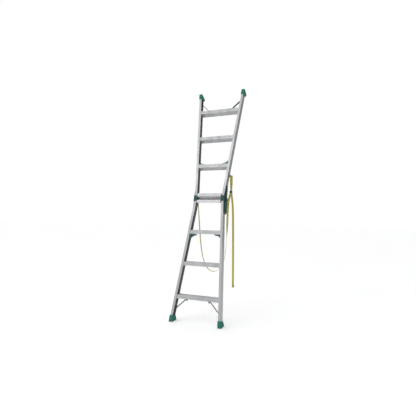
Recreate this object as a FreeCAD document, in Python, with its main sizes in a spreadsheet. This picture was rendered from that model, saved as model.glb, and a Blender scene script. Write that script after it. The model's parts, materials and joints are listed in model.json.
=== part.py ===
import FreeCAD, Part
import math
import os
import re

import Sketcher
from FreeCAD import Placement, Rotation, Vector

# A hinged step ladder opened out into one straight ladder and leaned at its working angle.
# It is two equal sections. Each section is drawn in the section frame: x across, y back from
# the front flanges, z up along the section, feet at z = 0 and fold pivot at section_length.
# The upper section is the same drawing, turned half a turn about the ladder's own normal.
SIZES = {
    # sections
    "section_length": 1175,
    "lean_angle": 15,
    "foot_half_width": 248.85,
    "hinge_half_width": 149.5,
    # stiles, which are channels open towards the middle
    "stile_depth": 54,
    "stile_flange": 24,
    "web_wall": 2.2,
    "flange_wall": 2,
    "stile_start": 27,
    "stile_stop": 1147,
    "edge_round": 1.5,
    # treads
    "first_tread": 253.5,
    "tread_pitch": 304,
    "tread_height": 35,
    "tread_wall": 2,
    "tread_gap": 0.2,
    "rib_height": 1.2,
    "rib_width": 2.4,
    "groove_depth": 1,
    "groove_width": 4,
    "top_tread_height": 28,
    "top_tread_front": -6,
    "top_tread_back": 64.5,
    "top_tread_half": 121.6,
    "top_tread_edge": 1173.5,
    # rubber feet
    "foot_side": 3.6,
    "foot_width": 31,
    "foot_toe": 4,
    "foot_heel": 84,
    "foot_height": 62,
    "foot_wall": 3.5,
    # corner pieces
    "brace_reach": 88,
    "brace_drop": 115,
    "brace_width": 18,
    "brace_wall": 4.5,
    "gusset_reach": 82,
    "gusset_drop": 58,
    "gusset_wall": 4,
    # fold hinge
    "pivot_back": 66,
    "pivot_radius": 6,
    "pivot_play": 0.05,
    "ear_radius": 16,
    "disc_radius": 18,
    "ear_inner": 150,
    "ear_outer": 159.6,
    "disc_inner": 160.4,
    "disc_outer": 168,
    "head_inner": 122,
    "head_proud": 1.5,
    "head_back": 49,
    "parting_gap": 0.4,
    "arm_front": 20,
    "lower_arm": 145,
    "upper_arm": 135,
    # lock
    "lock_start": 1033,
    "lock_stop": 1148,
    "lock_back": 75.5,
    "bolt_width": 13,
    "bolt_wall": 5.3,
    "bolt_tip": 7,
    "bolt_play": 0.3,
    "bolt_travel": 8,
    "thumb_radius": 3.5,
    "notch_floor": 9.5,
    "splayed_angle": 150,
    "closed_angle": 176.5,
    # rivets
    "rivet_radius": 2.4,
    "rivet_play": 0.1,
    "rivet_head": 4.6,
    "rivet_dome": 1.3,
    # strap and its two brackets
    "strap_width": 20,
    "strap_wall": 2.5,
    "strap_ring_width": 14,
    "hanger_height": 930,
    "hanger_inner": 171.7,
    "hanger_wall": 3,
    "rod_radius": 3.2,
    "rod_length": 15.8,
}

doc = FreeCAD.newDocument("hinged_ladder")
sheet = doc.addObject("Spreadsheet::Sheet", "Sizes")
for row, (alias, value) in enumerate(SIZES.items(), start=1):
    sheet.set(f"A{row}", alias)
    sheet.set(f"B{row}", str(value))
    sheet.setAlias(f"B{row}", alias)
doc.recompute()

NODES = []


def cells(text):
    """A formula in the sheet's own names, ready for setExpression."""
    return re.sub(r"\b([a-z]+_[a-z_]+)\b", r"Sizes.\1", str(text))


def size(text):
    """The value of a formula in the sheet's own names."""
    return float(sheet.evalExpression(cells(text)))


def half_width(height):
    """The distance from the middle plane to a stile's outer face, as a formula."""
    narrowing = "(foot_half_width - hinge_half_width) / section_length"
    return f"(foot_half_width - {narrowing} * ({height}))"


def level(depth):
    """How far a level plane rises along the section at a depth, as a formula."""
    return f"(({depth}) * tan(lean_angle * 1deg))"


def mirrored(points, side):
    return [(f"({side}) * ({x})", z) for x, z in points]


def rectangle(low_x, low_y, high_x, high_y):
    return [(low_x, low_y), (high_x, low_y), (high_x, high_y), (low_x, high_y)]


class Piece:
    """A PartDesign body whose sketches and lengths are bound to the sheet."""

    def __init__(self, name, placement):
        self.body = doc.addObject("PartDesign::Body", name)
        self.body.Label = name
        self.body.Placement = placement
        self.steps = 0
        NODES.append(self.body)

    def sketch(self, plane, low, outlines, circles):
        """Closed outlines and circles on a plane moved to `low` along its own axis."""
        self.steps += 1
        sketch = self.body.newObject("Sketcher::SketchObject", f"{self.body.Name}_s{self.steps}")
        origin = [o for o in self.body.Origin.OriginFeatures if o.Role == f"{plane}_Plane"][0]
        sketch.AttachmentSupport = [(origin, "")]
        sketch.MapMode = "FlatFace"
        away = -1 if plane == "XZ" else 1
        sketch.setExpression(".AttachmentOffset.Base.z", cells(f"({away}) * ({low})"))
        for outline in outlines:
            self.draw(sketch, outline)
        for x, y, radius in circles:
            self.draw_circle(sketch, x, y, radius)
        return sketch

    def bind(self, sketch, kind, first, point, formula):
        value = size(formula)
        if kind == "Radius":
            index = sketch.addConstraint(Sketcher.Constraint(kind, first, value))
        else:
            index = sketch.addConstraint(Sketcher.Constraint(kind, -1, 1, first, point, value))
        sketch.setExpression(f"Constraints[{index}]", cells(formula))

    def draw(self, sketch, outline):
        spots = [Vector(size(x), size(y), 0) for x, y in outline]
        start = sketch.GeometryCount
        count = len(spots)
        for i in range(count):
            sketch.addGeometry(Part.LineSegment(spots[i], spots[(i + 1) % count]), False)
        for i in range(count):
            after = start + (i + 1) % count
            sketch.addConstraint(Sketcher.Constraint("Coincident", start + i, 2, after, 1))
        for i, (x, y) in enumerate(outline):
            self.bind(sketch, "DistanceX", start + i, 1, x)
            self.bind(sketch, "DistanceY", start + i, 1, y)

    def draw_circle(self, sketch, x, y, radius):
        centre = Vector(size(x), size(y), 0)
        circle = Part.Circle(centre, Vector(0, 0, 1), size(radius))
        index = sketch.addGeometry(circle, False)
        self.bind(sketch, "DistanceX", index, 3, x)
        self.bind(sketch, "DistanceY", index, 3, y)
        self.bind(sketch, "Radius", index, 0, radius)

    def slab(self, kind, plane, low, high, outlines=(), circles=()):
        """Material added or removed between two levels along the plane's own axis."""
        sketch = self.sketch(plane, low, outlines, circles)
        before = self.body.Shape.Volume if kind == "Pocket" else 0
        step = self.body.newObject(f"PartDesign::{kind}", f"{self.body.Name}_f{self.steps}")
        step.Profile = sketch
        step.setExpression("Length", cells(f"({high}) - ({low})"))
        step.Reversed = (plane == "XZ") == (kind == "Pad")
        doc.recompute()
        if kind == "Pocket" and self.body.Shape.Volume > before - 0.01:
            raise RuntimeError(f"{step.Name} removes nothing")
        return step

    def pad(self, plane, low, high, *outlines, circles=()):
        return self.slab("Pad", plane, low, high, outlines, circles)

    def pocket(self, plane, low, high, *outlines, circles=()):
        return self.slab("Pocket", plane, low, high, outlines, circles)

    def across(self, kind, side, low, high, *outlines, circles=()):
        """A slab between two distances from the middle plane, on one side of it."""
        if side < 0:
            low, high = f"-({high})", f"-({low})"
        return self.slab(kind, "YZ", low, high, outlines, circles)

    def round_edges(self, radius, wanted):
        """A fillet on the edges of the last step that `wanted` picks."""
        last = self.body.Tip
        names = [f"Edge{i}" for i, edge in enumerate(last.Shape.Edges, 1) if wanted(edge)]
        fillet = self.body.newObject("PartDesign::Fillet", f"{self.body.Name}_round")
        fillet.Base = (last, names)
        fillet.setExpression("Radius", cells(radius))
        doc.recompute()


def solid_node(name, shape, placement):
    """A node whose shape Part's own functions make from the sheet's values."""
    feature = doc.addObject("Part::Feature", name)
    feature.Label = name
    feature.Shape = shape
    feature.Placement = placement
    NODES.append(feature)
    return feature


def tread_heights():
    return [f"(first_tread + {i} * tread_pitch)" for i in range(3)]


def rivet_spots(centre):
    """Height and whether it is in the front wall, for a tread end's four rivets."""
    front = [(f"{centre} - 12", True), (f"{centre} - 30", True)]
    back = [(f"{centre} - 1", False), (f"{centre} - 19", False)]
    return front + back


def rivet_column(height):
    """The middle of the flange at a height, as a formula."""
    return f"({half_width(height)} - stile_flange / 2)"


def rivet_circles(centre, side, front):
    play = "rivet_radius + rivet_play"
    spots = [z for z, in_front in rivet_spots(centre) if in_front == front]
    return [(f"({side}) * {rivet_column(z)}", z, play) for z in spots]


def stile(name, placement, side):
    piece = Piece(name, placement)

    def band(outer, inner, low, high):
        return [
            (f"{half_width(low)} - ({outer})", low),
            (f"{half_width(low)} - ({inner})", low),
            (f"{half_width(high)} - ({inner})", high),
            (f"{half_width(high)} - ({outer})", high),
        ]

    outside = band("0", "stile_flange", "stile_start", "stile_stop")
    inside = band("web_wall", "stile_flange + 5", "stile_start - 5", "stile_stop + 5")
    piece.pad("XZ", "0", "stile_depth", mirrored(outside, side))

    def outer_corner(edge):
        run = edge.BoundBox
        return run.ZLength > 1000 and abs(run.Center.x) > size(rivet_column("section_length / 2"))

    piece.round_edges("edge_round", outer_corner)
    piece.pocket("XZ", "flange_wall", "stile_depth - flange_wall", mirrored(inside, side))
    for front, low, high in (
        (True, "-1", "flange_wall + 1"),
        (False, "stile_depth - flange_wall - 1", "stile_depth + 1"),
    ):
        holes = [c for z in tread_heights() for c in rivet_circles(z, side, front)]
        piece.pocket("XZ", low, high, circles=holes)
    return piece


def tread_outline(front, back, middle, height, ribs):
    """A tread's section: its top is level in use, with anti-slip ribs, and its walls are upright."""

    def top(depth, proud="0"):
        return (depth, f"{middle} + {level(f'({depth}) - ({front} + {back}) / 2')} + {proud}")

    # A shallow groove runs along the middle of the front wall.
    low = f"({top(front)[1]} - ({height} + groove_width) / 2)"
    points = [
        (front, f"{top(front)[1]} - {height}"),
        (front, low),
        (f"{front} + groove_depth", low),
        (f"{front} + groove_depth", f"{low} + groove_width"),
        (front, f"{low} + groove_width"),
        top(front),
    ]
    for i in range(ribs):
        at = f"({front} + ({back} - {front}) * {(i + 0.5) / ribs})"
        start, stop = f"({at} - rib_width / 2)", f"({at} + rib_width / 2)"
        points += [top(start), top(start, "rib_height"), top(stop, "rib_height"), top(stop)]
    points += [top(back), (back, f"{top(back)[1]} - {height}")]
    return points, top


def tread(name, placement, front, back, middle, height, half_length, ribs, riveted):
    piece = Piece(name, placement)
    outline, top = tread_outline(front, back, middle, height, ribs)
    piece.pad("YZ", f"-({half_length})", half_length, outline)

    def cell(low, high):
        return [
            (low, f"{top(low)[1]} - {height} + tread_wall"),
            (low, f"{top(low)[1]} - tread_wall"),
            (high, f"{top(high)[1]} - tread_wall"),
            (high, f"{top(high)[1]} - {height} + tread_wall"),
        ]

    centre = f"(({front} + {back}) / 2)"
    cells_open = [
        cell(f"({front} + tread_wall)", f"({centre} - tread_wall / 2)"),
        cell(f"({centre} + tread_wall / 2)", f"({back} - tread_wall)"),
    ]
    piece.pocket("YZ", f"-({half_length}) - 1", f"{half_length} + 1", *cells_open)
    if riveted:
        for in_front, low, high in (
            (True, f"{front} - 1", f"{front} + tread_wall + 1"),
            (False, f"{back} - tread_wall - 1", f"{back} + 1"),
        ):
            holes = [c for side in (1, -1) for c in rivet_circles(middle, side, in_front)]
            piece.pocket("XZ", low, high, circles=holes)
    return piece


def foot(name, placement, side):
    """A moulded boot over the stile's end, with a sole that is level in use."""
    piece = Piece(name, placement)
    rear = "stile_depth + foot_wall"
    outline = [
        ("foot_toe", level("foot_toe")),
        ("foot_heel", level("foot_heel")),
        ("foot_heel", f"{level('foot_heel')} + 8"),
        ("foot_heel - 8", "foot_height - 19"),
        (f"{rear} + 9", "foot_height - 9"),
        (rear, "foot_height"),
        ("-foot_wall", "foot_height"),
        ("-foot_wall", "foot_height - 36"),
        ("foot_toe - 7", f"{level('foot_toe')} + 7"),
    ]
    outer = f"({half_width('0')} + foot_side)"
    inner = f"({half_width('foot_height')} + foot_side - foot_width)"
    piece.across("Pad", side, inner, outer, outline)

    def upright_corner(edge):
        run = edge.BoundBox
        return run.XLength < 0.01 and edge.Length > 7 and run.ZMin > size(level("foot_toe")) + 1

    piece.round_edges("foot_wall / 2", upright_corner)
    socket = [
        (f"{half_width('stile_start')} + 0.1", "stile_start - 0.1"),
        (f"{half_width('stile_start')} - stile_flange - 0.1", "stile_start - 0.1"),
        (f"{half_width('foot_height + 5')} - stile_flange - 0.1", "foot_height + 5"),
        (f"{half_width('foot_height + 5')} + 0.1", "foot_height + 5"),
    ]
    piece.pocket("XZ", "-0.1", "stile_depth + 0.1", mirrored(socket, side))
    # Both sides of the boot follow the stile's slant.
    beyond = [
        (f"{half_width('-5')} + foot_side", "-5"),
        (f"{half_width('foot_height + 5')} + foot_side", "foot_height + 5"),
        (f"{outer} + 5", "foot_height + 5"),
        (f"{outer} + 5", "-5"),
    ]
    within = [
        (f"{half_width('-5')} + foot_side - foot_width", "-5"),
        (f"{half_width('foot_height + 5')} + foot_side - foot_width", "foot_height + 5"),
        (f"{inner} - 5", "foot_height + 5"),
        (f"{inner} - 5", "-5"),
    ]
    for wedge in (beyond, within):
        piece.pocket("XZ", "-foot_wall - 5", "foot_heel + 5", mirrored(wedge, side))

    def groove(start):
        stop = f"({start} + 4)"
        return [
            (start, f"{level(start)} - 1"),
            (stop, f"{level(stop)} - 1"),
            (stop, f"{level(stop)} + 2.5"),
            (start, f"{level(start)} + 2.5"),
        ]

    grooves = [groove(f"(foot_toe + {9 + 15 * i})") for i in range(5)]
    piece.across("Pocket", side, f"{inner} - 1", f"{outer} + 1", *grooves)
    return piece


def strip(spots, wall):
    """The outline of a bent strip that follows the spots, which are numbers."""
    rows = []
    for turn in (1, -1):
        row = []
        for i, here in enumerate(spots):
            ways = []
            if i:
                ways.append((here - spots[i - 1]).normalize())
            if i < len(spots) - 1:
                ways.append((spots[i + 1] - here).normalize())
            along = sum(ways[1:], ways[0]).normalize()
            normal = Vector(-along.y, along.x, 0)
            reach = turn * wall / 2 / max(along.dot(ways[0]), 0.2)
            row.append(here + normal * reach)
        rows.append(row)
    return rows[0] + rows[1][::-1]


def brace(name, placement, side):
    """A bent flat bar from under the lowest tread down to the inside of the stile's web."""
    piece = Piece(name, placement)
    wall = size("brace_wall")
    # The bar lies across the middle of the channel, so it clears the tread's slanted underside there.
    under = f"(first_tread + {level('-brace_width / 2')} - tread_height)"
    rise = size(under) - wall / 2 - 0.2
    lip = size(f"{half_width(under)} - stile_flange")
    low = rise - size("brace_drop")

    def web(height):
        return size(f"{half_width(height)} - web_wall - brace_wall / 2 - 0.3")

    spots = [
        Vector(lip - size("brace_reach") - 18, rise, 0),
        Vector(lip - size("brace_reach"), rise, 0),
        Vector(web(low), low, 0),
        Vector(web(low - 20), low - 20, 0),
    ]
    outline = [(str(side * p.x), str(p.y)) for p in strip(spots, wall)]
    middle = "stile_depth / 2"
    piece.pad("XZ", f"{middle} - brace_width / 2", f"{middle} + brace_width / 2", outline)
    return piece


def gusset(name, placement, side):
    """A moulded corner under the third tread, with a concave inner edge and rims."""
    piece = Piece(name, placement)
    third = tread_heights()[2]
    front, back = "(flange_wall + 1)", "(stile_depth - flange_wall - 1)"
    top = f"({third} + {level(f'{front} - stile_depth / 2')} - tread_height - 0.2)"
    low = f"({top} - gusset_drop)"
    web = f"({half_width(top)} - web_wall - 0.3)"
    corner = [
        (web, top),
        (f"{web} - gusset_reach", top),
        (f"{web} - gusset_reach", f"{top} - gusset_wall"),
        (f"{web} - gusset_wall", low),
        (web, low),
    ]
    piece.pad("XZ", front, back, mirrored(corner, side))
    # The bite leaves a leg under the tread, a leg along the web and a round between them.
    reach, drop = "(gusset_reach - gusset_wall)", "(gusset_drop - gusset_wall)"
    bite = f"(({reach}^2 + {drop}^2) / (2 * {drop}) * 0.93)"
    centre = (f"({side}) * ({web} - gusset_wall - {bite})", f"{top} - gusset_wall - {bite}")
    piece.pocket("XZ", f"{front} - 1", f"{back} + 1", circles=[(*centre, bite)])
    return piece


PARTING = "(section_length - parting_gap)"
PIVOT = ("pivot_back", "section_length")


def bracket_head(name, placement, side):
    """The casting's block over the stile's end."""
    piece = Piece(name, placement)
    block = rectangle("head_inner", "stile_stop", "ear_outer", PARTING)
    piece.pad("XZ", "-head_proud", "head_back", mirrored(block, side))
    return piece


def lower_bracket(name, placement, side):
    piece = bracket_head(name, placement, side)
    low = "(section_length - lower_arm)"
    arm = [
        (f"{half_width(PARTING)} + 0.2", PARTING),
        (f"{half_width(low)} + 0.2", low),
        ("disc_outer - 3", low),
        ("disc_outer - 2", f"{low} + 12"),
        ("disc_outer - 2", PARTING),
    ]
    piece.pad("XZ", "arm_front", "head_back - 3", mirrored(arm, side))
    ear = [
        ("head_back - 19", "stile_stop + 0.2"),
        ("pivot_back", "stile_stop + 2"),
        ("pivot_back + ear_radius", "section_length"),
        ("pivot_back", "section_length"),
        ("head_back - 1", PARTING),
        ("head_back - 19", PARTING),
    ]
    piece.across("Pad", side, "ear_inner", "ear_outer", ear)
    piece.across("Pad", side, "ear_inner", "ear_outer", circles=[(*PIVOT, "ear_radius")])
    # The lock's housing stands behind the stile and is tied to the arm beside it.
    behind = rectangle("stile_depth + 0.4", "lock_start", "lock_back", "lock_stop")
    beside = rectangle("head_back - 9", "lock_start", "lock_back", "lock_stop")
    piece.across("Pad", side, "ear_inner + 2", "disc_outer", behind)
    piece.across("Pad", side, f"{half_width('lock_start')} + 0.3", "disc_outer", beside)
    half = "(bolt_width / 2 + bolt_play)"
    slot = rectangle(f"pivot_back - {half}", "lock_start - 1", f"pivot_back + {half}", "lock_stop + 1")
    piece.across("Pocket", side, "disc_inner - bolt_play", "disc_inner + bolt_wall + bolt_play", slot)
    edge = "(thumb_radius + bolt_play)"
    thumb = "(lock_start + 25)"
    window = rectangle(
        f"pivot_back - {edge}", f"{thumb} - {edge}", f"pivot_back + {edge}", f"{thumb} + {edge} + bolt_travel"
    )
    piece.across("Pocket", side, "disc_inner + bolt_wall", "disc_outer + 1", window)
    bore = [(*PIVOT, "pivot_radius + pivot_play")]
    piece.across("Pocket", side, "ear_inner - 1", "ear_outer + 1", circles=bore)
    return piece


def radial(angle, reach, aside):
    """A point at an angle about the pivot, moved sideways from that ray."""
    turn = f"(({angle}) * 1deg)"
    y = f"(pivot_back + ({reach}) * cos{turn} - ({aside}) * sin{turn})"
    z = f"(section_length + ({reach}) * sin{turn} + ({aside}) * cos{turn})"
    return y, z


def upper_bracket(name, placement, side):
    piece = bracket_head(name, placement, side)
    low = "(section_length - upper_arm)"
    wedge = [
        (f"{half_width(PARTING)} + 0.2", PARTING),
        (f"{half_width(low)} + 0.2", low),
        ("disc_outer - 3.3", low),
        ("disc_outer", "section_length - 35"),
        ("disc_outer", PARTING),
    ]
    piece.pad("XZ", "arm_front", "head_back", mirrored(wedge, side))
    plate = [
        ("head_back - 19", PARTING),
        ("head_back - 19", "section_length - 30"),
        ("head_back - 5", "section_length - 30"),
        ("head_back + 7", "section_length - 16"),
        ("pivot_back", "section_length - 16"),
        ("pivot_back", "section_length"),
    ]
    piece.across("Pad", side, "disc_inner", "disc_outer", plate)
    piece.across("Pad", side, "disc_inner", "disc_outer", circles=[(*PIVOT, "disc_radius")])
    # The lock's notches: one holds the straight ladder. The other holds the spread of the
    # step ladder, and leaves the ladder free to close from there.
    half = "(bolt_tip / 2 + bolt_play)"
    far = "(disc_radius + 3)"
    straight = [
        radial("90", "notch_floor", half),
        radial("90", far, half),
        radial("90", far, f"-{half}"),
        radial("90", "notch_floor", f"-{half}"),
    ]
    spread, closed = "90 - splayed_angle", "90 - closed_angle"
    splayed = [
        radial(spread, "notch_floor", half),
        radial(spread, far, half),
        radial(closed, far, f"-{half}"),
        radial(closed, "notch_floor", f"-{half}"),
    ]
    piece.across("Pocket", side, "disc_inner - 1", "disc_outer + 1", straight)
    piece.across("Pocket", side, "disc_inner - 1", "disc_outer + 1", splayed)
    bore = [(*PIVOT, "pivot_radius + pivot_play")]
    piece.across("Pocket", side, "disc_inner - 1", "disc_outer + 1", circles=bore)
    return piece


def hinge_pin(name, placement, side):
    piece = Piece(name, placement)
    stages = [
        ("ear_inner - 4.5", "ear_inner - 0.3", "pivot_radius + 3"),
        ("ear_inner - 0.3", "disc_outer + 0.3", "pivot_radius"),
        ("disc_outer + 0.3", "disc_outer + 4.5", "pivot_radius + 4"),
    ]
    for start, stop, radius in stages:
        piece.across("Pad", side, start, stop, circles=[(*PIVOT, radius)])
    return piece


def lock_bolt(name, placement, side):
    """A flat bolt with a narrow tip and a thumb stud, drawn down so that the fold is free."""
    piece = Piece(name, placement)
    released = "(section_length - disc_radius - 0.7)"
    wide, tip = "(bolt_width / 2)", "(bolt_tip / 2)"
    outline = [
        (f"pivot_back - {wide}", "lock_start + 5"),
        (f"pivot_back + {wide}", "lock_start + 5"),
        (f"pivot_back + {wide}", "lock_stop"),
        (f"pivot_back + {tip}", "lock_stop"),
        (f"pivot_back + {tip}", released),
        (f"pivot_back - {tip}", released),
        (f"pivot_back - {tip}", "lock_stop"),
        (f"pivot_back - {wide}", "lock_stop"),
    ]
    stud = [("pivot_back", "lock_start + 25", "thumb_radius")]
    piece.across("Pad", side, "disc_inner", "disc_inner + bolt_wall", outline)
    piece.across("Pad", side, "disc_inner + bolt_wall", "disc_outer + 9", circles=stud)
    return piece


def hanger(name, placement, side):
    """A plate on the stile's outer face with a rod behind the stile that holds the strap."""
    piece = Piece(name, placement)
    plate = [
        ("14", "hanger_height - 17"),
        ("44", "hanger_height - 17"),
        ("pivot_back + 8", "hanger_height - 8"),
        ("pivot_back + 8", "hanger_height + 8"),
        ("44", "hanger_height + 17"),
        ("14", "hanger_height + 17"),
    ]
    outer = "(hanger_inner + hanger_wall)"
    rod = [("pivot_back", "hanger_height", "rod_radius")]
    stop = [("pivot_back", "hanger_height", "rod_radius + 2.8")]
    piece.across("Pad", side, "hanger_inner", outer, plate)
    piece.across("Pad", side, outer, f"{outer} + rod_length", circles=rod)
    piece.across("Pad", side, f"{outer} + rod_length", f"{outer} + rod_length + 3", circles=stop)
    return piece


def rivet(outside, inwards, grip):
    """A blind rivet: its domed head sits on the outside, and its shank grips both walls."""
    head = Part.makeCylinder(size("rivet_head"), size("rivet_dome"), outside, -inwards)
    shank = Part.makeCylinder(size("rivet_radius"), grip, outside, inwards)
    tail = outside + inwards * grip
    bulb = Part.makeCylinder(size("rivet_radius") * 1.3, 1.5, tail, inwards)
    return head.fuse([shank, bulb])


def tread_rivets():
    """The rivets of the three lower treads, through the flanges of both stiles."""
    grip = size("flange_wall + tread_gap + tread_wall") + 0.1
    rivets = []
    for centre in tread_heights():
        for height, in_front in rivet_spots(centre):
            for side in (1, -1):
                x = side * size(rivet_column(height))
                y = 0 if in_front else size("stile_depth")
                way = Vector(0, 1, 0) if in_front else Vector(0, -1, 0)
                rivets.append(rivet(Vector(x, y, size(height)), way, grip))
    return rivets


lean = Placement(Vector(0, 0, 0), Rotation(Vector(1, 0, 0), -size("lean_angle")))
flip = Placement(Vector(0, 0, size("2 * section_length")), Rotation(Vector(0, 1, 0), 180))
SECTIONS = {"lower": lean, "upper": lean.multiply(flip)}


def section(name, placement):
    """One ladder section. On the upper one, turned over, the drawing's left is the right."""
    hands = {"left": -1, "right": 1} if name == "lower" else {"left": 1, "right": -1}
    front, back = "(flange_wall + tread_gap)", "(stile_depth - flange_wall - tread_gap)"
    for hand, side in hands.items():
        stile(f"{name}_stile_{hand}", placement, side)
        foot(f"{name}_rubber_boot_{hand}", placement, side)
        brace(f"{name}_brace_{hand}", placement, side)
        gusset(f"{name}_gusset_{hand}", placement, side)
    for number, height in enumerate(tread_heights(), 1):
        half = f"({half_width(f'({height} + 8)')} - web_wall - 0.3)"
        label = f"{name}_tread_{number}"
        tread(label, placement, front, back, height, "tread_height", half, 5, True)
    middle = f"(top_tread_edge - {level('(top_tread_back - top_tread_front) / 2')})"
    tread(
        f"{name}_top_tread", placement, "(top_tread_front)", "top_tread_back", middle,
        "top_tread_height", "top_tread_half", 7, False,
    )
    solid_node(f"{name}_tread_rivets", Part.makeCompound(tread_rivets()), placement)


section("lower", SECTIONS["lower"])
section("upper", SECTIONS["upper"])
for hand, side in {"left": -1, "right": 1}.items():
    lower_bracket(f"lower_hinge_bracket_{hand}", SECTIONS["lower"], side)
    hinge_pin(f"hinge_pin_{hand}", SECTIONS["lower"], side)
    lock_bolt(f"lock_bolt_{hand}", SECTIONS["lower"], side)
    hanger(f"strap_bracket_{hand}", SECTIONS["upper"], -side)
    upper_bracket(f"upper_hinge_bracket_{hand}", SECTIONS["upper"], -side)


# The strap hangs from both rods in one upright plane, and bends only within that plane.
rods = SECTIONS["upper"].multVec(Vector(0, size("pivot_back"), size("hanger_height")))
STRAP_LOOP = [
    (-182, 1305),
    (-179, 1248),
    (-175, 1190),
    (-166, 1050),
    (-155, 910),
    (-143, 770),
    (-130, 650),
    (-112, 555),
    (-86, 480),
    (-48, 429),
    (0, 410),
    (48, 424),
    (88, 466),
    (116, 522),
    (131, 600),
    (140, 700),
    (145, 830),
    (147, 950),
    (150, 1060),
    (160, 1138),
    (175, 1181),
]
STRAP_TAIL = [
    (185, 1181),
    (190, 1145),
    (198, 1085),
    (203, 1000),
    (206, 870),
    (208, 710),
    (210, 510),
    (212, 273),
]
BUCKLE = {"low": 1181.5, "high": 1211, "middle": 180, "width": 26, "depth": 22}


def strap_path(name, route):
    """Straight runs joined by tangent arcs, each as large as its two runs allow."""
    spots = [Vector(x, 0, z) for x, z in route]
    edges, radii, start = [], [], spots[0]
    for before, here, after in zip(spots, spots[1:], spots[2:]):
        back, on = (before - here), (after - here)
        turn = math.pi - back.getAngle(on)
        reach = 0.45 * min(back.Length, on.Length)
        radius = reach / math.tan(turn / 2)
        enter, leave = here + back.normalize() * reach, here + on.normalize() * reach
        to_centre = (back + on).normalize() * (radius / math.cos(turn / 2) - radius)
        edges.append(Part.LineSegment(start, enter).toShape())
        edges.append(Part.Arc(enter, here + to_centre, leave).toShape())
        radii.append(round(radius))
        start = leave
    edges.append(Part.LineSegment(start, spots[-1]).toShape())
    wire = Part.Wire(edges)
    print(name, "length", round(wire.Length), "mm, bend radii", radii)
    return wire


def strap(name, route):
    """A flat strap along the route: its thickness lies in the route's plane."""
    path = strap_path(name, route)
    wide, thick = size("strap_width"), size("strap_wall")
    along = path.Edges[0].tangentAt(path.Edges[0].FirstParameter)
    normal = along.cross(Vector(0, 1, 0))
    centre = path.Edges[0].valueAt(path.Edges[0].FirstParameter)
    corners = []
    for across, out in ((-1, -1), (1, -1), (1, 1), (-1, 1)):
        step = Vector(0, across * wide / 2, 0) + normal * (out * thick / 2)
        corners.append(centre + step)
    profile = Part.makePolygon(corners + corners[:1])
    solid = path.makePipeShell([profile], True, False)
    expected = wide * thick * path.Length
    print(name, "volume share of section times length", round(solid.Volume / expected, 4))
    solid_node(name, solid, Placement(Vector(0, rods.y, 0), Rotation()))


strap("strap_loop", STRAP_LOOP)
strap("strap_tail", STRAP_TAIL)


def strap_end(name, side, low):
    """The sewn end of the strap: a ring round the rod and a flat band below it."""
    wide, thick = size("strap_ring_width"), size("strap_wall")
    inner = size("rod_radius") + 0.5
    start = size("hanger_inner + hanger_wall") + 0.3
    origin = Vector(start if side > 0 else -start - wide, 0, rods.z)
    ring = Part.makeCylinder(inner + 2.8, wide, origin, Vector(1, 0, 0))
    bore = Part.makeCylinder(inner, wide, origin, Vector(1, 0, 0))
    drop = rods.z - inner - low
    band = Part.makeBox(wide, thick, drop, Vector(origin.x, -thick / 2, low))
    solid = ring.fuse(band).cut(bore).removeSplitter()
    solid_node(name, solid, Placement(Vector(0, rods.y, 0), Rotation()))


def strap_buckle():
    """A moulded slide that the strap's three ends enter."""
    low = Vector(BUCKLE["middle"] - BUCKLE["width"] / 2, -BUCKLE["depth"] / 2, BUCKLE["low"])
    tall = BUCKLE["high"] - BUCKLE["low"]
    block = Part.makeBox(BUCKLE["width"], BUCKLE["depth"], tall, low)
    upright = [edge for edge in block.Edges if abs(edge.tangentAt(0).z) > 0.9]
    return block.makeFillet(3, upright)


strap_end("strap_top", 1, BUCKLE["high"])
strap_end("strap_eye_left", -1, STRAP_LOOP[0][1] + 0.5)
solid_node("strap_buckle", strap_buckle(), Placement(Vector(0, rods.y, 0), Rotation()))

doc.recompute()


def check(body):
    """Stop on any failed object or on a shape that isn't a valid solid."""
    shape = body.Shape
    if shape.isNull() or not shape.isValid() or not shape.Solids:
        raise RuntimeError(f"{body.Label} has no valid solid")


for item in doc.Objects:
    if {"Invalid", "Error"} & set(item.State):
        raise RuntimeError(f"{item.Label} failed: {item.State}")
for node in NODES:
    check(node)

# The origin is under the middle of the ladder itself, without its belt.
soft = {"strap_loop", "strap_tail", "strap_top", "strap_eye_left", "strap_buckle"}
ladder = [node for node in NODES if node.Label not in soft]
spread = Part.makeCompound([node.Shape for node in ladder]).BoundBox
centring = Placement(Vector(0, -spread.Center.y, 0), Rotation())
for node in NODES:
    node.Placement = centring.multiply(node.Placement)
doc.recompute()

print("shift", -spread.Center.y, "box", spread)
for name, spot in (
    ("fold pivot", Vector(0, size("pivot_back"), size("section_length"))),
    ("rods", Vector(0, size("pivot_back"), size("2 * section_length - hanger_height"))),
):
    print(name, centring.multiply(lean).multVec(spot))

os.makedirs("parts", exist_ok=True)
for node in NODES:
    node.Shape.exportStep(f"parts/{node.Label}.step")
print(len(NODES), "nodes")
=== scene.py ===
import json
import math

import bmesh
import bpy
from mathutils import Matrix, Vector


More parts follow.
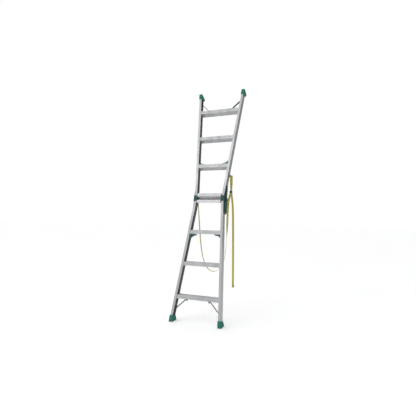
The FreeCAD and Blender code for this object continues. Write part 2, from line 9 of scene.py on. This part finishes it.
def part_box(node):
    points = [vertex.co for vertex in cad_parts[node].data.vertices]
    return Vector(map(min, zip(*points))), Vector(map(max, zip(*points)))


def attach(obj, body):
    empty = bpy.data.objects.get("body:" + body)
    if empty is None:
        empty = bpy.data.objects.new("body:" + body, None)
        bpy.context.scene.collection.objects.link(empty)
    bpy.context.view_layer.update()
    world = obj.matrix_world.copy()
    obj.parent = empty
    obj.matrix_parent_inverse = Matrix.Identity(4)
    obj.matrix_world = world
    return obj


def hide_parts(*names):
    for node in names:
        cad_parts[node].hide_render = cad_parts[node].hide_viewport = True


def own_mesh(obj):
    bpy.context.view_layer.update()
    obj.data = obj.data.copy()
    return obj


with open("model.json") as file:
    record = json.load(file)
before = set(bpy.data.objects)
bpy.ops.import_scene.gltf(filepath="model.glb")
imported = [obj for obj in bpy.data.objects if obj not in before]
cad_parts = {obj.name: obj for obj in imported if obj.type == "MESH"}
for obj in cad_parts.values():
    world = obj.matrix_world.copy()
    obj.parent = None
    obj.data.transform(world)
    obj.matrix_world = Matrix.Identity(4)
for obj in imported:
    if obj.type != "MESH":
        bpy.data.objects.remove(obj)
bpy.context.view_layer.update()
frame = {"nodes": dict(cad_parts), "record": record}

NODES = frame["nodes"]
LEAN = math.radians(15)
JOINTS = {j["name"]: j for j in frame["record"]["behaviour"]["joints"]}
PIVOT = Vector(JOINTS["fold"]["pos_m"])
RODS = Vector(JOINTS["strap_swing"]["pos_m"])
SECTION_LENGTH = 1.175
PIVOT_BACK = 0.066
FOOT_HALF_WIDTH = 0.24885
HINGE_HALF_WIDTH = 0.1495
FIRST_TREAD = 0.2535
TREAD_PITCH = 0.304
TREAD_HEIGHT = 0.035
STILE_DEPTH = 0.054
RIVET_INSET = 0.012
BRACE_WIDTH = 0.018
BRACE_WALL = 0.0045


# Camera: the ladder is seen from the front and a little from its right.
def place_camera():
    data = bpy.data.cameras.new("camera")
    data.lens = 31.21
    data.sensor_width = 36
    camera = bpy.data.objects.new("camera", data)
    bpy.context.collection.objects.link(camera)
    turn, pitch, roll = math.radians(22.65), math.radians(1.27), math.radians(0.83)
    level = math.cos(pitch)
    forward = Vector((-math.sin(turn) * level, math.cos(turn) * level, math.sin(pitch)))
    place = Matrix.Translation((1.3306, PIVOT.y - 3.2715, PIVOT.z - 0.156))
    facing = forward.to_track_quat("-Z", "Y").to_matrix().to_4x4()
    camera.matrix_world = place @ facing @ Matrix.Rotation(roll, 4, "Z")
    bpy.context.scene.camera = camera


place_camera()


# Materials
class Paint:
    """A node material, with short calls for the nodes that several looks share."""

    def __init__(self, name, colour, roughness, metallic=0.0, **shader):
        self.material = bpy.data.materials.new(name)
        self.material.use_nodes = True
        self.tree = self.material.node_tree
        self.shader = self.tree.nodes["Principled BSDF"]
        self.shader.inputs["Roughness"].default_value = roughness
        self.shader.inputs["Metallic"].default_value = metallic
        for key, value in shader.items():
            self.shader.inputs[key.replace("_", " ")].default_value = value
        self.position = self.node("ShaderNodeTexCoord").outputs["Object"]
        self.colour = colour
        self.heights = []
        self.shader.inputs["Base Color"].default_value = (*colour, 1)

    def node(self, kind, **values):
        node = self.tree.nodes.new(kind)
        for key, value in values.items():
            setattr(node, key, value)
        return node

    def link(self, start, end):
        self.tree.links.new(start, end)

    def stretched(self, scale, turn=0.0):
        """The object's own coordinates, scaled, and turned about x first."""
        source = self.position
        if turn:
            rotate = self.node("ShaderNodeVectorRotate", rotation_type="X_AXIS")
            rotate.inputs["Angle"].default_value = turn
            self.link(source, rotate.inputs["Vector"])
            source = rotate.outputs["Vector"]
        mapping = self.node("ShaderNodeMapping")
        mapping.inputs["Scale"].default_value = scale
        self.link(source, mapping.inputs["Vector"])
        return mapping.outputs["Vector"]

    def math(self, operation, first, second=0.0):
        node = self.node("ShaderNodeMath", operation=operation)
        for socket, value in zip(node.inputs, (first, second)):
            if isinstance(value, bpy.types.NodeSocket):
                self.link(value, socket)
            else:
                socket.default_value = value
        return node.outputs["Value"]

    def follow_stiles(self):
        """Straightens the coordinates, so that z runs along each stile: the stiles lean back,
        and spread away from the fold."""
        split = self.node("ShaderNodeSeparateXYZ")
        self.link(self.stretched((1, 1, 1), LEAN), split.inputs["Vector"])
        fold = PIVOT.y * math.sin(LEAN) + PIVOT.z * math.cos(LEAN)
        reach = self.math("ABSOLUTE", self.math("SUBTRACT", split.outputs["Z"], fold))
        spread = self.math("MULTIPLY", reach, (FOOT_HALF_WIDTH - HINGE_HALF_WIDTH) / SECTION_LENGTH)
        across = self.math("SUBTRACT", self.math("ABSOLUTE", split.outputs["X"]), spread)
        join = self.node("ShaderNodeCombineXYZ")
        for name, value in (("X", across), ("Y", split.outputs["Y"]), ("Z", split.outputs["Z"])):
            self.link(value, join.inputs[name])
        self.position = join.outputs["Vector"]

    def noise(self, scale, detail=4.0, rough=0.55, turn=0.0):
        noise = self.node("ShaderNodeTexNoise")
        noise.inputs["Scale"].default_value = 1
        noise.inputs["Detail"].default_value = detail
        noise.inputs["Roughness"].default_value = rough
        self.link(self.stretched(scale, turn), noise.inputs["Vector"])
        return noise.outputs["Fac"]

    def wave(self, scale, direction, turn=0.0):
        wave = self.node("ShaderNodeTexWave", bands_direction=direction)
        wave.inputs["Scale"].default_value = 1
        self.link(self.stretched(scale, turn), wave.inputs["Vector"])
        return wave.outputs["Fac"]

    def ramp(self, fac, *stops):
        ramp = self.node("ShaderNodeValToRGB")
        elements = ramp.color_ramp.elements
        while len(elements) < len(stops):
            elements.new(0.5)
        for element, (place, value) in zip(elements, stops):
            element.position = place
            colour = value if isinstance(value, tuple) else (value, value, value)
            element.color = (*colour, 1)
        self.link(fac, ramp.inputs["Fac"])
        return ramp.outputs["Color"]

    def mix(self, fac, first, second, blend="MIX"):
        mix = self.node("ShaderNodeMix", data_type="RGBA", blend_type=blend)
        sockets = (mix.inputs[0], mix.inputs[6], mix.inputs[7])
        for socket, value in zip(sockets, (fac, first, second)):
            if isinstance(value, bpy.types.NodeSocket):
                self.link(value, socket)
            elif isinstance(value, tuple):
                socket.default_value = (*value, 1)
            else:
                socket.default_value = value
        return mix.outputs[2]

    def edges(self, radius):
        """Bright where the surface turns sharply: a mask for a painted highlight along the edges,
        standing also for wear there.
        """
        bevel = self.node("ShaderNodeBevel")
        bevel.inputs["Radius"].default_value = radius
        normal = self.node("ShaderNodeNewGeometry").outputs["Normal"]
        dot = self.node("ShaderNodeVectorMath", operation="DOT_PRODUCT")
        self.link(bevel.outputs["Normal"], dot.inputs[0])
        self.link(normal, dot.inputs[1])
        return self.ramp(dot.outputs["Value"], (0.86, 1.0), (0.995, 0.0))

    def rough(self, fac, low, high):
        self.link(self.ramp(fac, (0.3, low), (0.7, high)), self.shader.inputs["Roughness"])

    def bump(self, height, strength, distance):
        bump = self.node("ShaderNodeBump")
        bump.inputs["Strength"].default_value = strength
        bump.inputs["Distance"].default_value = distance
        self.link(height, bump.inputs["Height"])
        if self.heights:
            self.link(self.heights[-1], bump.inputs["Normal"])
        self.heights.append(bump.outputs["Normal"])
        self.link(bump.outputs["Normal"], self.shader.inputs["Normal"])

    def base(self, colour):
        self.link(colour, self.shader.inputs["Base Color"])


def drawn_aluminium(name, colour, across, roughness=0.42, metallic=0.85):
    """Extruded, brushed aluminium: streaks run along the part, with dull spots, and bright edges
    that are a painted highlight and stand also for wear.
    """
    paint = Paint(name, colour, roughness, metallic=metallic)
    if across:
        streaks = paint.noise((5, 190, 190), 2, 0.5, turn=LEAN)
    else:
        paint.follow_stiles()
        streaks = paint.noise((190, 190, 3), 2, 0.5)
    spots = paint.noise((14, 14, 5), 3, 0.5)
    dark = tuple(c * 0.92 for c in colour)
    body = paint.mix(paint.ramp(streaks, (0.3, 0.0), (0.7, 1.0)), dark, colour)
    marks = paint.ramp(spots, (0.5, 1.0), (0.75, 0.9))
    body = paint.mix(1.0, body, marks, "MULTIPLY")
    highlight_and_wear = tuple(min(1, c * 1.08) for c in colour)
    # Sharp edges are painted lighter: a painted highlight, standing also for wear there.
    paint.base(paint.mix(paint.edges(0.0012), body, highlight_and_wear))
    paint.rough(spots, roughness - 0.08, roughness + 0.12)
    paint.bump(streaks, 0.06, 0.0001)
    return paint.material


def cast_green(name, colour):
    """Enamelled casting: fine orange peel, chalky patches, and lighter edges in worn patches,
    partly chipped paint and partly a painted highlight.
    """
    paint = Paint(name, colour, 0.38, Specular_IOR_Level=0.3, Coat_Weight=0.06, Coat_Roughness=0.3)
    patches = paint.noise((22, 22, 22), 4)
    peel = paint.noise((700, 700, 700), 2)
    pale = tuple(c * 1.4 + 0.006 for c in colour)
    body = paint.mix(paint.ramp(patches, (0.42, 0.0), (0.75, 0.6)), colour, pale)
    highlight_and_wear = paint.ramp(patches, (0.4, 0.0), (0.6, 0.8))
    chips_and_highlight = paint.mix(1.0, paint.edges(0.001), highlight_and_wear, "MULTIPLY")
    # Edges in the worn patches turn a lighter green: partly chipped paint, partly a painted
    # highlight.
    paint.base(paint.mix(chips_and_highlight, body, (0.08, 0.2, 0.16)))
    paint.rough(patches, 0.3, 0.5)
    paint.bump(peel, 0.2, 0.0003)
    return paint.material


def moulded(name, colour, roughness, dust):
    """Rubber or plastic from a mould: grained skin with dust and scuffs."""
    paint = Paint(name, colour, roughness, Specular_IOR_Level=0.4)
    grain = paint.noise((900, 900, 900), 3, 0.6)
    scuffs = paint.noise((60, 60, 25), 6, 0.7)
    body = paint.mix(paint.ramp(scuffs, (0.5, 0.0), (0.8, 0.55)), colour, dust)
    # Sharp edges are painted lighter: a painted highlight, standing also for scuffs there.
    paint.base(paint.mix(paint.edges(0.0015), body, tuple(c * 1.6 + 0.01 for c in colour)))
    paint.rough(scuffs, roughness - 0.06, roughness + 0.14)
    paint.bump(grain, 0.35, 0.0004)
    return paint.material


def plated(name, colour, roughness):
    """Plated steel: cloudy patches, fine scratches and dark specks."""
    paint = Paint(name, colour, roughness, metallic=0.95)
    clouds = paint.noise((90, 90, 90), 4)
    scratches = paint.noise((40, 900, 900), 4, 0.6)
    dark = tuple(c * 0.6 for c in colour)
    body = paint.mix(paint.ramp(clouds, (0.35, 0.0), (0.65, 1.0)), dark, colour)
    paint.base(body)
    paint.rough(clouds, roughness - 0.1, roughness + 0.12)
    paint.bump(scratches, 0.2, 0.0002)
    return paint.material


def webbing(name, colour, shadow):
    """Woven strap: a herringbone of raised yarns that follows the strap through its UVs."""
    paint = Paint(name, colour, 0.85, Sheen_Weight=0.3, Sheen_Roughness=0.5)
    uv = paint.node("ShaderNodeUVMap", uv_map="weave").outputs["UV"]
    paint.position = uv
    ribs = paint.wave((4.4, 0.0, 0.0), "X")
    picks = paint.wave((2.2, 26.0, 0.0), "DIAGONAL")
    weave = paint.mix(0.5, ribs, picks)
    fibres = paint.noise((60, 900, 1), 4, 0.7)
    soil = paint.noise((2, 5, 1), 4, 0.6)
    tone = paint.mix(paint.ramp(weave, (0.2, 0.0), (0.8, 1.0)), shadow, colour)
    bright = tuple(min(1, c * 1.25) for c in colour)
    tone = paint.mix(paint.ramp(fibres, (0.4, 0.0), (0.7, 0.35)), tone, bright)
    faded = tuple(c * 0.7 for c in colour)
    paint.base(paint.mix(paint.ramp(soil, (0.5, 0.0), (0.75, 0.5)), tone, faded))
    paint.bump(weave, 0.7, 0.0005)
    paint.bump(fibres, 0.2, 0.0001)
    return paint.material


STILE = drawn_aluminium("brushed_stile", (0.455, 0.46, 0.47), across=False)
TREAD = drawn_aluminium("brushed_tread", (0.475, 0.48, 0.49), across=True, roughness=0.48)
# The top treads get a much lighter, less metallic copy of the tread aluminium: painted light, so
# that their faces under the fold, which sit in shade, read brighter.
TOP_PAINTED_LIGHT = drawn_aluminium("brushed_top_painted_light", (0.74, 0.74, 0.76), across=True, roughness=0.55, metallic=0.45)
RIVET = plated("rivet_aluminium", (0.66, 0.66, 0.67), 0.35)
CASTING = cast_green("green_casting", (0.004, 0.058, 0.044))
RUBBER = moulded("green_rubber", (0.012, 0.165, 0.115), 0.62, (0.07, 0.19, 0.15))
GUSSET = moulded("green_plastic", (0.006, 0.062, 0.055), 0.5, (0.03, 0.085, 0.075))
ZINC = plated("zinc_steel", (0.48, 0.48, 0.5), 0.36)
DARK = plated("dark_steel", (0.07, 0.095, 0.09), 0.5)
YELLOW = webbing("yellow_webbing", (0.64, 0.57, 0.11), (0.36, 0.3, 0.03))
BROWN = moulded("brown_plastic", (0.12, 0.07, 0.03), 0.5, (0.2, 0.15, 0.1))
BROWN_WEB = webbing("brown_webbing", (0.24, 0.165, 0.06), (0.1, 0.065, 0.02))

LOOKS = (
    ("rivets", RIVET),
    ("stile", STILE),
    ("top_tread", TOP_PAINTED_LIGHT),
    ("tread", TREAD),
    ("boot", RUBBER),
    ("brace", DARK),
    ("gusset", GUSSET),
    ("hinge_bracket", CASTING),
    ("hinge_pin", ZINC),
    ("lock_bolt", ZINC),
    ("strap_bracket", ZINC),
)

for name, node in NODES.items():
    look = next((material for word, material in LOOKS if word in name), YELLOW)
    if not node.material_slots:
        node.data.materials.append(look)
    for slot in node.material_slots:
        slot.link = "OBJECT"
        slot.material = look


# Mesh building
def to_world(point, upper):
    """A point of the section frame (across, back, along) in the row frame."""
    x, back, along = point
    if upper:
        x, along = -x, 2 * SECTION_LENGTH - along
    dy, dz = back - PIVOT_BACK, along - SECTION_LENGTH
    return Vector((
        x,
        PIVOT.y + dy * math.cos(LEAN) + dz * math.sin(LEAN),
        PIVOT.z - dy * math.sin(LEAN) + dz * math.cos(LEAN),
    ))


def half_width(along):
    return FOOT_HALF_WIDTH - (FOOT_HALF_WIDTH - HINGE_HALF_WIDTH) * along / SECTION_LENGTH


def add_piece(name, mesh, material, body):
    obj = bpy.data.objects.new(name, mesh)
    bpy.context.collection.objects.link(obj)
    obj.data.materials.append(material)
    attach(obj, body)
    return obj


def finished(bm, name, smooth=True):
    bmesh.ops.recalc_face_normals(bm, faces=bm.faces)
    mesh = bpy.data.meshes.new(name)
    bm.to_mesh(mesh)
    bm.free()
    for polygon in mesh.polygons:
        polygon.use_smooth = smooth
    return mesh


def turned(bm, centre, way, profile, sides=24):
    """A turned form: the profile lists distance along `way` and radius."""
    way = way.normalized()
    aside = way.orthogonal().normalized()
    up = way.cross(aside)
    rings = []
    for reach, radius in profile:
        ring = []
        for i in range(sides):
            turn = 2 * math.pi * i / sides
            spoke = aside * math.cos(turn) + up * math.sin(turn)
            ring.append(bm.verts.new(centre + way * reach + spoke * max(radius, 0.0002)))
        rings.append(ring)
    for low, high in zip(rings, rings[1:]):
        for i in range(sides):
            j = (i + 1) % sides
            bm.faces.new((low[i], low[j], high[j], high[i]))
    bm.faces.new(rings[0][::-1])
    bm.faces.new(rings[-1])


# The strap hangs in one upright plane behind the ladder.
STRAP_LOOP = [
    (-0.182, 1.305),
    (-0.179, 1.248),
    (-0.175, 1.19),
    (-0.166, 1.05),
    (-0.155, 0.91),
    (-0.143, 0.77),
    (-0.13, 0.65),
    (-0.112, 0.555),
    (-0.086, 0.48),
    (-0.048, 0.429),
    (0, 0.41),
    (0.048, 0.424),
    (0.088, 0.466),
    (0.116, 0.522),
    (0.131, 0.6),
    (0.14, 0.7),
    (0.145, 0.83),
    (0.147, 0.95),
    (0.15, 1.06),
    (0.16, 1.138),
    (0.175, 1.181),
]
STRAP_TAIL = [
    (0.185, 1.181),
    (0.19, 1.145),
    (0.198, 1.085),
    (0.203, 1),
    (0.206, 0.87),
    (0.208, 0.71),
    (0.21, 0.51),
    (0.212, 0.273),
]
STRAP_WIDTH = 0.02
STRAP_WALL = 0.0022


def smooth_line(name, route):
    """The route's NURBS line, as closely spaced points."""
    curve = bpy.data.curves.new(name, "CURVE")
    curve.dimensions = "3D"
    spline = curve.splines.new("NURBS")
    spline.points.add(len(route) - 1)
    for point, (x, z) in zip(spline.points, route):
        point.co = (x, RODS.y, z, 1)
    spline.order_u = 3
    spline.use_endpoint_u = True
    spline.resolution_u = 12
    helper = bpy.data.objects.new(name, curve)
    mesh = bpy.data.meshes.new_from_object(helper)
    points = [v.co.copy() for v in mesh.vertices]
    bpy.data.objects.remove(helper)
    bpy.data.curves.remove(curve)
    return points


def shares(points):
    """How far along the line each point is, from 0 to 1, and the line's length."""
    runs = [(b - a).length for a, b in zip(points, points[1:])]
    total = sum(runs)
    place, out = 0.0, [0.0]
    for run in runs:
        place += run
        out.append(place / total)
    return out, total


def ribbon(name, points, facing, width=STRAP_WIDTH, wall=STRAP_WALL, curl=0.0):
    """A webbing band along the points. `facing` gives, at each share of its length, how far it
    has turned from lying edge-on to the front (0) to lying flat to the front (90 degrees)."""
    bm = bmesh.new()
    uv = bm.loops.layers.uv.new("weave")
    where, total = shares(points)
    section = []
    for u, v in ((-1, -0.55), (-0.96, -1), (-0.5, -1), (0, -1), (0.5, -1), (0.96, -1), (1, -0.55)):
        section.append((u, v))
    section += [(-u, -v) for u, v in section]
    rings = []
    for i, here in enumerate(points):
        before, after = points[max(i - 1, 0)], points[min(i + 1, len(points) - 1)]
        along = (after - before).normalized()
        back = Vector((0, 1, 0))
        aside = back.cross(along).normalized()
        turn = math.radians(facing(where[i]))
        wide = back * math.cos(turn) + aside * math.sin(turn)
        thick = along.cross(wide)
        ring = []
        for u, v in section:
            bow = curl * (u * u - 0.4)
            spot = here + wide * (u * width / 2) + thick * (v * wall / 2 + bow)
            ring.append((bm.verts.new(spot), u, where[i] * total / STRAP_WIDTH))
        rings.append(ring)
    count = len(section)
    for low, high in zip(rings, rings[1:]):
        for i in range(count):
            j = (i + 1) % count
            corners = (low[i], low[j], high[j], high[i])
            face = bm.faces.new([c[0] for c in corners])
            for loop, (_, u, v) in zip(face.loops, corners):
                loop[uv].uv = (u, v)
    for ring, order in ((rings[0], -1), (rings[-1], 1)):
        face = bm.faces.new([c[0] for c in ring][::order])
        for loop in face.loops:
            loop[uv].uv = (0.5, 0)
    return finished(bm, name)


def eased(share, low, high):
    t = min(max((share - low) / (high - low), 0), 1)
    return t * t * (3 - 2 * t)


def soften(piece):
    """Gives the piece its own copy of its mesh."""
    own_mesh(piece)


loop_points = smooth_line("strap_loop_line", STRAP_LOOP)
tail_points = smooth_line("strap_tail_line", STRAP_TAIL)


def loop_facing(share):
    # Nearly edge-on down the left and round the bottom, then turning flat on the way up.
    wobble = 6 * math.sin(share * 17)
    return wobble - 22 * eased(share, 0.45, 0.7) + 88 * eased(share, 0.74, 0.87)


def tail_facing(share):
    return 113 + 10 * math.sin(share * 5.5 + 0.6) + 7 * math.sin(share * 17)


loop_mesh = ribbon("strap_loop_web", loop_points, loop_facing, curl=0.0006)
tail_mesh = ribbon("strap_tail_web", tail_points, tail_facing, curl=0.0006)
loop = add_piece("strap_loop_web", loop_mesh, YELLOW, "strap")
tail = add_piece("strap_tail_web", tail_mesh, YELLOW, "strap")
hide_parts("strap_loop")
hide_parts("strap_tail")


def strap_end(low, front_low, spread, material, name, node):
    """The strap's sewn end: a loop round the rod, two layers below it and rows of stitches.
    Each layer stands up to `spread` aside below the rod, and they meet again lower down."""
    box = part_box(node)
    low_x, high_x = box[0][0], box[1][0]
    middle = (low_x + high_x) / 2
    radius = 0.0057
    throat = RODS.z - 0.018
    courses = ((1, 0.0011, 0), (0.75, 0.0011, 0.35), (0.5, 0.0012, 0.7), (0.3, 0.0014, 1))

    def layer(side, bottom):
        spots = []
        for drop, deep, apart in courses:
            z = throat - (throat - bottom) * drop
            spots.append(Vector((middle + side * spread * apart, RODS.y + side * deep, z)))
        spots.append(Vector((middle + side * spread * 0.8, RODS.y + side * 0.0016, throat)))
        return spots

    path = layer(1, low)
    for i in range(17):
        turn = math.radians(-50 + 280 * i / 16)
        x = middle + spread * 0.8 * (1 - i / 8)
        path.append(Vector((x, RODS.y + radius * math.cos(turn), RODS.z + radius * math.sin(turn))))
    path += layer(-1, front_low)[::-1]
    bm = bmesh.new()
    uv = bm.loops.layers.uv.new("weave")
    width = high_x - low_x
    where, total = shares(path)
    rows = []
    for i, here in enumerate(path):
        before, after = path[max(i - 1, 0)], path[min(i + 1, len(path) - 1)]
        along = (after - before).normalized()
        thick = along.cross(Vector((1, 0, 0)))
        row = []
        for u, v in ((-1, -1), (-0.5, -1), (0, -1), (0.5, -1), (1, -1), (1, 1), (0, 1), (-1, 1)):
            spot = here + Vector((u * width / 2 * 0.98, 0, 0)) + thick * (v * 0.001)
            row.append((bm.verts.new(spot), u, where[i] * total / width))
        rows.append(row)
    for below, above in zip(rows, rows[1:]):
        for i in range(8):
            j = (i + 1) % 8
            corners = (below[i], below[j], above[j], above[i])
            face = bm.faces.new([c[0] for c in corners])
            for corner, (_, u, v) in zip(face.loops, corners):
                corner[uv].uv = (u, v)
    bm.faces.new([c[0] for c in rows[0]][::-1])
    bm.faces.new([c[0] for c in rows[-1]])
    band = add_piece(name, finished(bm, name), material, "strap")
    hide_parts(node)

    stitch = ((0, 0.0001), (0.0003, 0.0003), (0.0013, 0.0003), (0.0016, 0.0001))
    stitches = bmesh.new()
    for row in range(3):
        z = RODS.z - 0.026 - 0.008 * row
        for i in range(5):
            x = low_x + width * (0.14 + 0.18 * i)
            for side in (-1, 1):
                centre = Vector((x - 0.0008 + side * spread * 0.9, RODS.y + side * 0.0024, z))
                turned(stitches, centre, Vector((1, 0, 0)), stitch, 8)
    label = f"{name}_stitches"
    thread = add_piece(label, finished(stitches, label), BROWN_WEB, "strap")
    return band, thread


top, top_stitches = strap_end(1.184, 1.184, 0.007, YELLOW, "strap_top_web", "strap_top")
left_end, left_stitches = strap_end(
    STRAP_LOOP[0][1], RODS.z - 0.065, 0.0, YELLOW, "strap_left_end", "strap_eye_left",
)


def slide_buckle():
    """A ladder-lock slide: rounded side rails, three cross bars and finger ridges."""
    low, high = (Vector(corner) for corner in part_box("strap_buckle"))
    centre, half = (low + high) / 2, (high - low) / 2
    bm = bmesh.new()

    def block(middle, size):
        made = bmesh.ops.create_cube(bm, size=1)["verts"]
        bmesh.ops.scale(bm, vec=size, verts=made)
        bmesh.ops.translate(bm, vec=middle, verts=made)

    rail = 0.003
    for side in (-1, 1):
        spot = centre + Vector((side * (half.x - rail / 2), 0, 0))
        block(spot, (rail, half.y * 1.1, half.z * 2))
    # The webbing runs behind the two front bars and in front of the rear one.
    for share, back in ((-0.6, -0.0052), (0.0, 0.0052), (0.6, -0.0052)):
        block(centre + Vector((0, back, share * half.z)), (half.x * 1.9, 0.004, 0.0085))
    for share in (0.45, 0.6, 0.75):
        block(centre + Vector((0, -0.0076, share * half.z)), (half.x * 1.5, 0.0014, 0.0011))
    mesh = finished(bm, "strap_slide")
    slide = add_piece("strap_slide", mesh, BROWN, "strap")
    soft = slide.modifiers.new("soft", "BEVEL")
    soft.width = 0.0008
    soft.segments = 3
    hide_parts("strap_buckle")
    return slide


slide = slide_buckle()


def tail_tip():
    """The crimped tip that keeps the tail's cut end from fraying."""
    end = tail_points[-1]
    way = (tail_points[-2] - end).normalized()
    line = [end + way * (0.001 + 0.024 * i / 8) for i in range(9)]
    mesh = ribbon("strap_tip", line, lambda share: tail_facing(1), width=0.0208, wall=0.0034)
    return add_piece("strap_tip", mesh, BROWN, "strap")


tip = tail_tip()
for piece in (loop, tail, top, top_stitches, left_end, left_stitches, slide, tip):
    soften(piece)

loop_length = shares(loop_points)[1]
tail_length = shares(tail_points)[1]


# Small fittings that the CAD leaves plain
def rivet_domes(upper):
    """A domed head with a sunk mandrel mark over each rivet."""
    bm = bmesh.new()
    dome = (
        (0, 0.0046), (0.0006, 0.0045), (0.0011, 0.0037),
        (0.00135, 0.0022), (0.0013, 0.0014), (0.0008, 0.0012),
    )
    for tread in range(3):
        middle = FIRST_TREAD + TREAD_PITCH * tread
        for along, front in ((-0.012, True), (-0.03, True), (-0.001, False), (-0.019, False)):
            height = middle + along
            for side in (-1, 1):
                x = side * (half_width(height) - RIVET_INSET)
                spot = to_world((x, 0 if front else STILE_DEPTH, height), upper)
                away = to_world((x, -0.01 if front else STILE_DEPTH + 0.01, height), upper)
                turned(bm, spot + (away - spot) * 0.004, away - spot, dome, 20)
    section = "upper" if upper else "lower"
    name = f"{section}_rivet_domes"
    return add_piece(name, finished(bm, name), RIVET, f"{section}_section")


for upper in (False, True):
    rivet_domes(upper)


def bolt_head(bm, spot, way, radius, height):
    """A hexagon head on a round washer."""
    turned(bm, spot, way, ((0, radius * 1.5), (0.0009, radius * 1.5), (0.001, radius * 1.44)), 24)
    turned(
        bm, spot + way.normalized() * 0.001, way,
        ((0, radius * 1.1), (height * 0.8, radius * 1.1), (height, radius * 0.92)), 6,
    )


def brace_bolts(upper):
    """The bolts that hold each brace to its tread and stile."""
    section = "upper" if upper else "lower"
    bm = bmesh.new()
    for hand in ("left", "right"):
        low, high = (Vector(corner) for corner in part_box(f"{section}_brace_{hand}"))
        side = -1 if hand == "left" else 1
        local = -side if upper else side
        under = FIRST_TREAD - BRACE_WIDTH / 2 * math.tan(LEAN) - TREAD_HEIGHT - BRACE_WALL - 0.0002
        inner = min(abs(low.x), abs(high.x)) + BRACE_WIDTH / 2
        spot = to_world((local * inner, STILE_DEPTH / 2, under), upper)
        away = to_world((local * inner, STILE_DEPTH / 2, under - 0.01), upper)
        bolt_head(bm, spot, away - spot, 0.0062, 0.009)
        turned(bm, spot, away - spot, ((0.009, 0.004), (0.014, 0.004), (0.0148, 0.0034)), 16)
    name = f"{section}_brace_bolts"
    mesh = finished(bm, name, smooth=False)
    return add_piece(name, mesh, DARK, f"{section}_section")


for upper in (False, True):
    brace_bolts(upper)


def bracket_bolts(upper):
    """Dome-headed bolts through each hinge casting into the stile."""
    section = "upper" if upper else "lower"
    bm = bmesh.new()
    dome = ((0, 0.0052), (0.001, 0.0051), (0.0022, 0.004), (0.0028, 0.0022), (0.0029, 0.0005))
    stops = (1.04, 1.11) if not upper else (1.06, 1.11)
    for side in (-1, 1):
        for along in stops:
            reach = 0.166 if not upper else 0.1647 + (along - 1.04) * 0.033
            spot = to_world((side * (reach - 0.0004), 0.031, along), upper)
            away = to_world((side * (reach + 0.01), 0.031, along), upper)
            turned(bm, spot, away - spot, dome, 20)
    name = f"{section}_bracket_bolts"
    return add_piece(name, finished(bm, name), ZINC, f"{section}_section")


for upper in (False, True):
    bracket_bolts(upper)


# Floor and light
def floor():
    bm = bmesh.new()
    bmesh.ops.create_grid(bm, x_segments=1, y_segments=1, size=30)
    obj = bpy.data.objects.new("floor", finished(bm, "floor", smooth=False))
    bpy.context.collection.objects.link(obj)
    paint = Paint("pale_floor", (0.93, 0.93, 0.93), 0.9)
    mottled = paint.noise((0.8, 0.8, 0.8), 3)
    patches = paint.ramp(mottled, (0.3, 0.0), (0.7, 1.0))
    paint.base(paint.mix(patches, (0.92, 0.92, 0.92), (0.95, 0.95, 0.95)))
    paint.shader.inputs["Emission Color"].default_value = (1, 1, 1, 1)
    paint.shader.inputs["Emission Strength"].default_value = 0.28
    obj.data.materials.append(paint.material)


def lamp(name, place, target, size, power):
    data = bpy.data.lights.new(name, "AREA")
    data.shape = "DISK"
    data.size = size
    data.energy = power
    obj = bpy.data.objects.new(name, data)
    bpy.context.collection.objects.link(obj)
    way = Vector(target) - Vector(place)
    obj.matrix_world = Matrix.Translation(place) @ way.to_track_quat("-Z", "Y").to_matrix().to_4x4()


def studio():
    """Soft light all round: white ahead and on the left, with a dimmer wall on the right."""
    world = bpy.data.worlds.new("studio")
    world.use_nodes = True
    tree = world.node_tree
    sky = tree.nodes["Background"]
    direction = tree.nodes.new("ShaderNodeTexCoord").outputs["Generated"]
    across = tree.nodes.new("ShaderNodeSeparateXYZ")
    shade = tree.nodes.new("ShaderNodeValToRGB")
    for element, place, colour in zip(
        shade.color_ramp.elements, (0.16, 0.4), ((1, 1, 1, 1), (0.22, 0.23, 0.245, 1))
    ):
        element.position = place
        element.color = colour
    tree.links.new(direction, across.inputs["Vector"])
    tree.links.new(across.outputs["X"], shade.inputs["Fac"])
    tree.links.new(shade.outputs["Color"], sky.inputs["Color"])
    sky.inputs["Strength"].default_value = 1.0
    bpy.context.scene.world = world


floor()
studio()
lamp("key", (-1.6, -3.6, 4.2), (0, 0, 1.1), 2.4, 26)
bpy.context.scene.view_settings.view_transform = "Standard"
